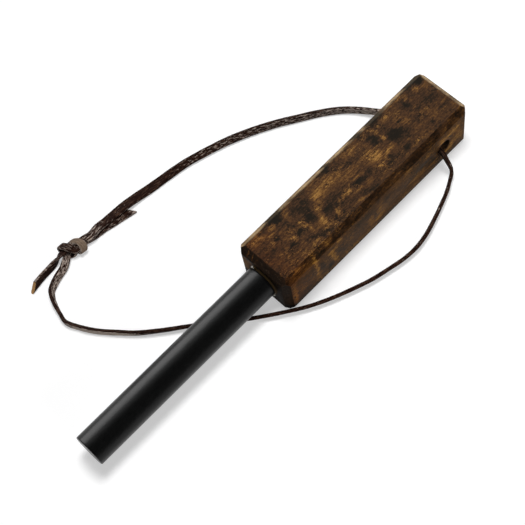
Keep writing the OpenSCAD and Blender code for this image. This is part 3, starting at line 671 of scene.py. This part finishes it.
def glueMaterial():
    # two-part epoxy, cured: its drops are cloudy, glossy and slightly yellow, with a painted pale glint on each, its
    # film dull brown with dust
    material, tree, shader = newMaterial("clearCuredEpoxy")
    place = put(tree, "ShaderNodeTexCoord").outputs["Object"]
    apart = [put(tree, "ShaderNodeVectorMath", {"operation": "DISTANCE"}, {0: place, 1: drop}).outputs["Value"]
             for drop in glueLook["drops"]]
    nearest = put(tree, "ShaderNodeMath", {"operation": "MINIMUM"}, {0: apart[0], 1: apart[1]})
    reach = glueLook["dropReach"]
    clear = put(tree, "ShaderNodeMapRange", {}, {"Value": nearest, "From Min": 0.8 * reach, "From Max": reach,
                                                 "To Min": 1.0, "To Max": 0.0})
    rough = put(tree, "ShaderNodeMapRange", {}, {"Value": clear, "To Min": glueLook["filmRough"],
                                                 "To Max": glueLook["dropRough"]})
    gloss = put(tree, "ShaderNodeMapRange", {}, {"Value": clear, "To Min": 0.05, "To Max": 0.5})
    # the drops' pale colour is a painted glint
    tint = put(tree, "ShaderNodeMix", {"data_type": "RGBA"}, {0: clear, 6: hexColour(glueLook["film"]),
                                                               7: hexColour(glueLook["drop"])}).outputs[2]
    tree.links.new(tint, shader.inputs["Base Color"])
    shader.inputs["IOR"].default_value = 1.5
    through = put(tree, "ShaderNodeMath", {"operation": "MULTIPLY"}, {0: clear, 1: glueLook["dropClear"]})
    tree.links.new(through.outputs[0], shader.inputs["Transmission Weight"])
    tree.links.new(rough.outputs[0], shader.inputs["Roughness"])
    tree.links.new(gloss.outputs[0], shader.inputs["Specular IOR Level"])
    return material


def leatherMaterials():
    # brown cowhide lace, dyed and waxed: near-black creases, pale scuffs and a painted sheen, napped back, raw tan
    # where cut
    material, tree, shader = newMaterial("dyedCowhideLace")
    scuffSheen = put(tree, "ShaderNodeAttribute", {"attribute_name": "scuffed"}).outputs["Fac"]
    back = put(tree, "ShaderNodeAttribute", {"attribute_name": "fleshSide"}).outputs["Fac"]
    strip = put(tree, "ShaderNodeUVMap", {"uv_map": "strip"}).outputs[0]
    inMm = put(tree, "ShaderNodeVectorMath", {"operation": "SCALE"}, {0: strip, "Scale": 100.0})
    alongIt = put(tree, "ShaderNodeMapping", {}, {"Vector": inMm, "Scale": (0.22, 1.5, 1.0)})
    crease = put(tree, "ShaderNodeTexNoise", {}, {"Vector": alongIt, "Scale": 1.6, "Detail": 5.0, "Roughness": 0.7})
    tone = put(tree, "ShaderNodeValToRGB", {"stops": [(0.34, thong["grainDark"]), (0.52, thong["grain"]),
                                                       (0.7, thong["grainWorn"])]}, {"Fac": crease})
    spotted = put(tree, "ShaderNodeMapping", {}, {"Vector": inMm, "Scale": (0.5, 1.7, 1.0)})
    speck = put(tree, "ShaderNodeTexNoise", {}, {"Vector": spotted, "Scale": 1.1, "Detail": 5.0, "Roughness": 0.7})
    # pale, for scuffs and painted sheen, where the speckle plus the table's value passes a threshold: all of it at 1,
    # none at 0
    edge = put(tree, "ShaderNodeMath", {"operation": "MULTIPLY_ADD"}, {0: scuffSheen, 1: -0.34, 2: 0.68})
    over = put(tree, "ShaderNodeMath", {"operation": "SUBTRACT"}, {0: speck, 1: edge})
    cover = put(tree, "ShaderNodeMapRange", {}, {"Value": over, "From Min": -0.05, "From Max": 0.09})
    bare = put(tree, "ShaderNodeMix", {"data_type": "RGBA"}, {0: back, 6: hexColour(thong["scuffed"]),
                                                               7: hexColour(thong["flesh"])}).outputs[2]
    nap = put(tree, "ShaderNodeMapRange", {}, {"Value": crease, "From Min": 0.35, "From Max": 0.65, "To Min": 0.45,
                                               "To Max": 1.15})
    paleTone = put(tree, "ShaderNodeVectorMath", {"operation": "SCALE"}, {0: bare, "Scale": nap}).outputs[0]
    colour = put(tree, "ShaderNodeMix", {"data_type": "RGBA"}, {0: cover, 6: tone, 7: paleTone})
    tree.links.new(colour.outputs[2], shader.inputs["Base Color"])
    shader.inputs["Specular IOR Level"].default_value = 0.015
    shader.inputs["Roughness"].default_value = 0.5
    bump = put(tree, "ShaderNodeBump", {}, {"Height": crease, "Strength": 0.5, "Distance": 0.0002})
    tree.links.new(bump.outputs[0], shader.inputs["Normal"])
    cut, cutTree, cutShader = newMaterial("rawCutCowhide")
    spot = put(cutTree, "ShaderNodeTexCoord").outputs["Object"]
    nap = put(cutTree, "ShaderNodeTexNoise", {}, {"Vector": spot, "Scale": 2600.0, "Detail": 3.0})
    tan = put(cutTree, "ShaderNodeValToRGB", {"stops": [(0.3, "#8a6233"), (0.7, thong["cutFace"])]}, {"Fac": nap})
    cutTree.links.new(tan.outputs[0], cutShader.inputs["Base Color"])
    cutShader.inputs["Roughness"].default_value = 0.85
    return material, cut


handle.data.materials.clear()
handle.data.materials.append(woodMaterial())
rod.data.materials.append(rodMaterial())
glue.data.materials.clear()
glue.data.materials.append(glueMaterial())
leather, rawLeather = leatherMaterials()
for piece in (pointedEnd, upperRun, inHole, lowerRun, cutEnd):
    piece.data.materials.append(leather)
    piece.data.materials.append(rawLeather)
print("materials set")

# Table and light: an overhead lamp lights it all and a low one fills in the near side. Two cards, seen only
# in glosses, lie at the far side: they give the sheen along the rod's far edge and on its top.
light = {
    "overheadFrom": (-0.13, -0.1, 0.95),
    "overheadSize": 0.25,  # m
    "overheadAway": 0.8,
    "overheadPower": 5.6,  # W
    "fillFrom": (-0.1, 0.95, 0.18),
    "fillSize": 0.6,
    "fillAway": 0.8,
    "fillPower": 4.2,
    "cardFrom": (-0.1, -0.8, 0.55),
    "cardSize": (0.9, 0.62),
    "cardAway": 0.75,
    "cardPower": 13.5,
    "upperFrom": (-0.05, -0.42, 0.9),
    "upperSize": (0.9, 0.5),
    "upperPower": 1.3,
    "world": 0.05,
    "table": 0.62,
    "tableGlow": 0.46,  # what the camera, the glosses and the glue see of it above the lamps' light
    "farGlow": 0.6,  # what the camera sees beside that, where the lamps' light gives out
    "farFrom": 0.2,  # m from the middle
    "farTo": 0.48,
}


def addLamp(name, away, size, power, distance, gloss=False):
    lamp = bpy.data.lights.new(name, "AREA")
    lamp.shape = "RECTANGLE"
    lamp.size, lamp.size_y = size
    lamp.energy = power
    holder = bpy.data.objects.new(name, lamp)
    way = Vector(away).normalized()
    holder.location = way * distance
    holder.rotation_euler = way.to_track_quat("Z", "Y").to_euler()
    holder.visible_glossy = gloss
    holder.visible_diffuse = not gloss
    bpy.context.collection.objects.link(holder)


def seenDirectly(tree):
    # 1 for camera, glossy and transmission rays, 0 for the light that falls on the object
    path = put(tree, "ShaderNodeLightPath")
    first = put(tree, "ShaderNodeMath", {"operation": "MAXIMUM"}, {0: path.outputs["Is Camera Ray"],
                                                                    1: path.outputs["Is Glossy Ray"]})
    return put(tree, "ShaderNodeMath", {"operation": "MAXIMUM"}, {0: first, 1: path.outputs["Is Transmission Ray"]})


def makeTable():
    half = 2.0
    corners = np.array([[-half, -half, 0], [half, -half, 0], [half, half, 0], [-half, half, 0]])
    mesh = bpy.data.meshes.new("table")
    mesh.from_pydata(corners.tolist(), [], [[0, 1, 2, 3]])
    table = bpy.data.objects.new("table", mesh)
    bpy.context.collection.objects.link(table)
    material, tree, shader = newMaterial("palePaintedTable")
    tree.nodes.remove(shader)
    plain = put(tree, "ShaderNodeBsdfDiffuse", {}, {"Color": (light["table"],) * 3 + (1,)})
    lift = put(tree, "ShaderNodeMath", {"operation": "MULTIPLY"}, {0: seenDirectly(tree), 1: light["tableGlow"]})
    place = put(tree, "ShaderNodeTexCoord").outputs["Object"]
    away = put(tree, "ShaderNodeVectorMath", {"operation": "LENGTH"}, {0: place}).outputs["Value"]
    far = put(tree, "ShaderNodeMapRange", {}, {"Value": away, "From Min": light["farFrom"],
                                               "From Max": light["farTo"], "To Max": light["farGlow"]})
    camera = put(tree, "ShaderNodeLightPath").outputs["Is Camera Ray"]
    strength = put(tree, "ShaderNodeMath", {"operation": "MULTIPLY_ADD"}, {0: far, 1: camera, 2: lift})
    glow = put(tree, "ShaderNodeEmission", {}, {"Strength": strength})
    both = put(tree, "ShaderNodeAddShader", {}, {0: plain, 1: glow})
    tree.links.new(both.outputs[0], tree.nodes["Material Output"].inputs["Surface"])
    mesh.materials.append(material)


def makeWorld():
    world = bpy.data.worlds.new("studio")
    bpy.context.scene.world = world
    world.use_nodes = True
    tree = world.node_tree
    tree.nodes.clear()
    # white to the camera alone, and a faint light on the object
    camera = put(tree, "ShaderNodeLightPath").outputs["Is Camera Ray"]
    strength = put(tree, "ShaderNodeMath", {"operation": "MAXIMUM"}, {0: camera, 1: light["world"]})
    glow = put(tree, "ShaderNodeBackground", {}, {"Color": (1, 1, 1, 1), "Strength": strength})
    put(tree, "ShaderNodeOutputWorld", {}, {"Surface": glow})


makeTable()
makeWorld()
addLamp("overhead", light["overheadFrom"], (light["overheadSize"],) * 2, light["overheadPower"], light["overheadAway"])
addLamp("fill", light["fillFrom"], (light["fillSize"],) * 2, light["fillPower"], light["fillAway"])
addLamp("farCard", light["cardFrom"], light["cardSize"], light["cardPower"], light["cardAway"], gloss=True)
addLamp("upperCard", light["upperFrom"], light["upperSize"], light["upperPower"], light["cardAway"], gloss=True)
bpy.context.scene.view_settings.view_transform = "Standard"
print("table and light set")

bpy.context.view_layer.update()
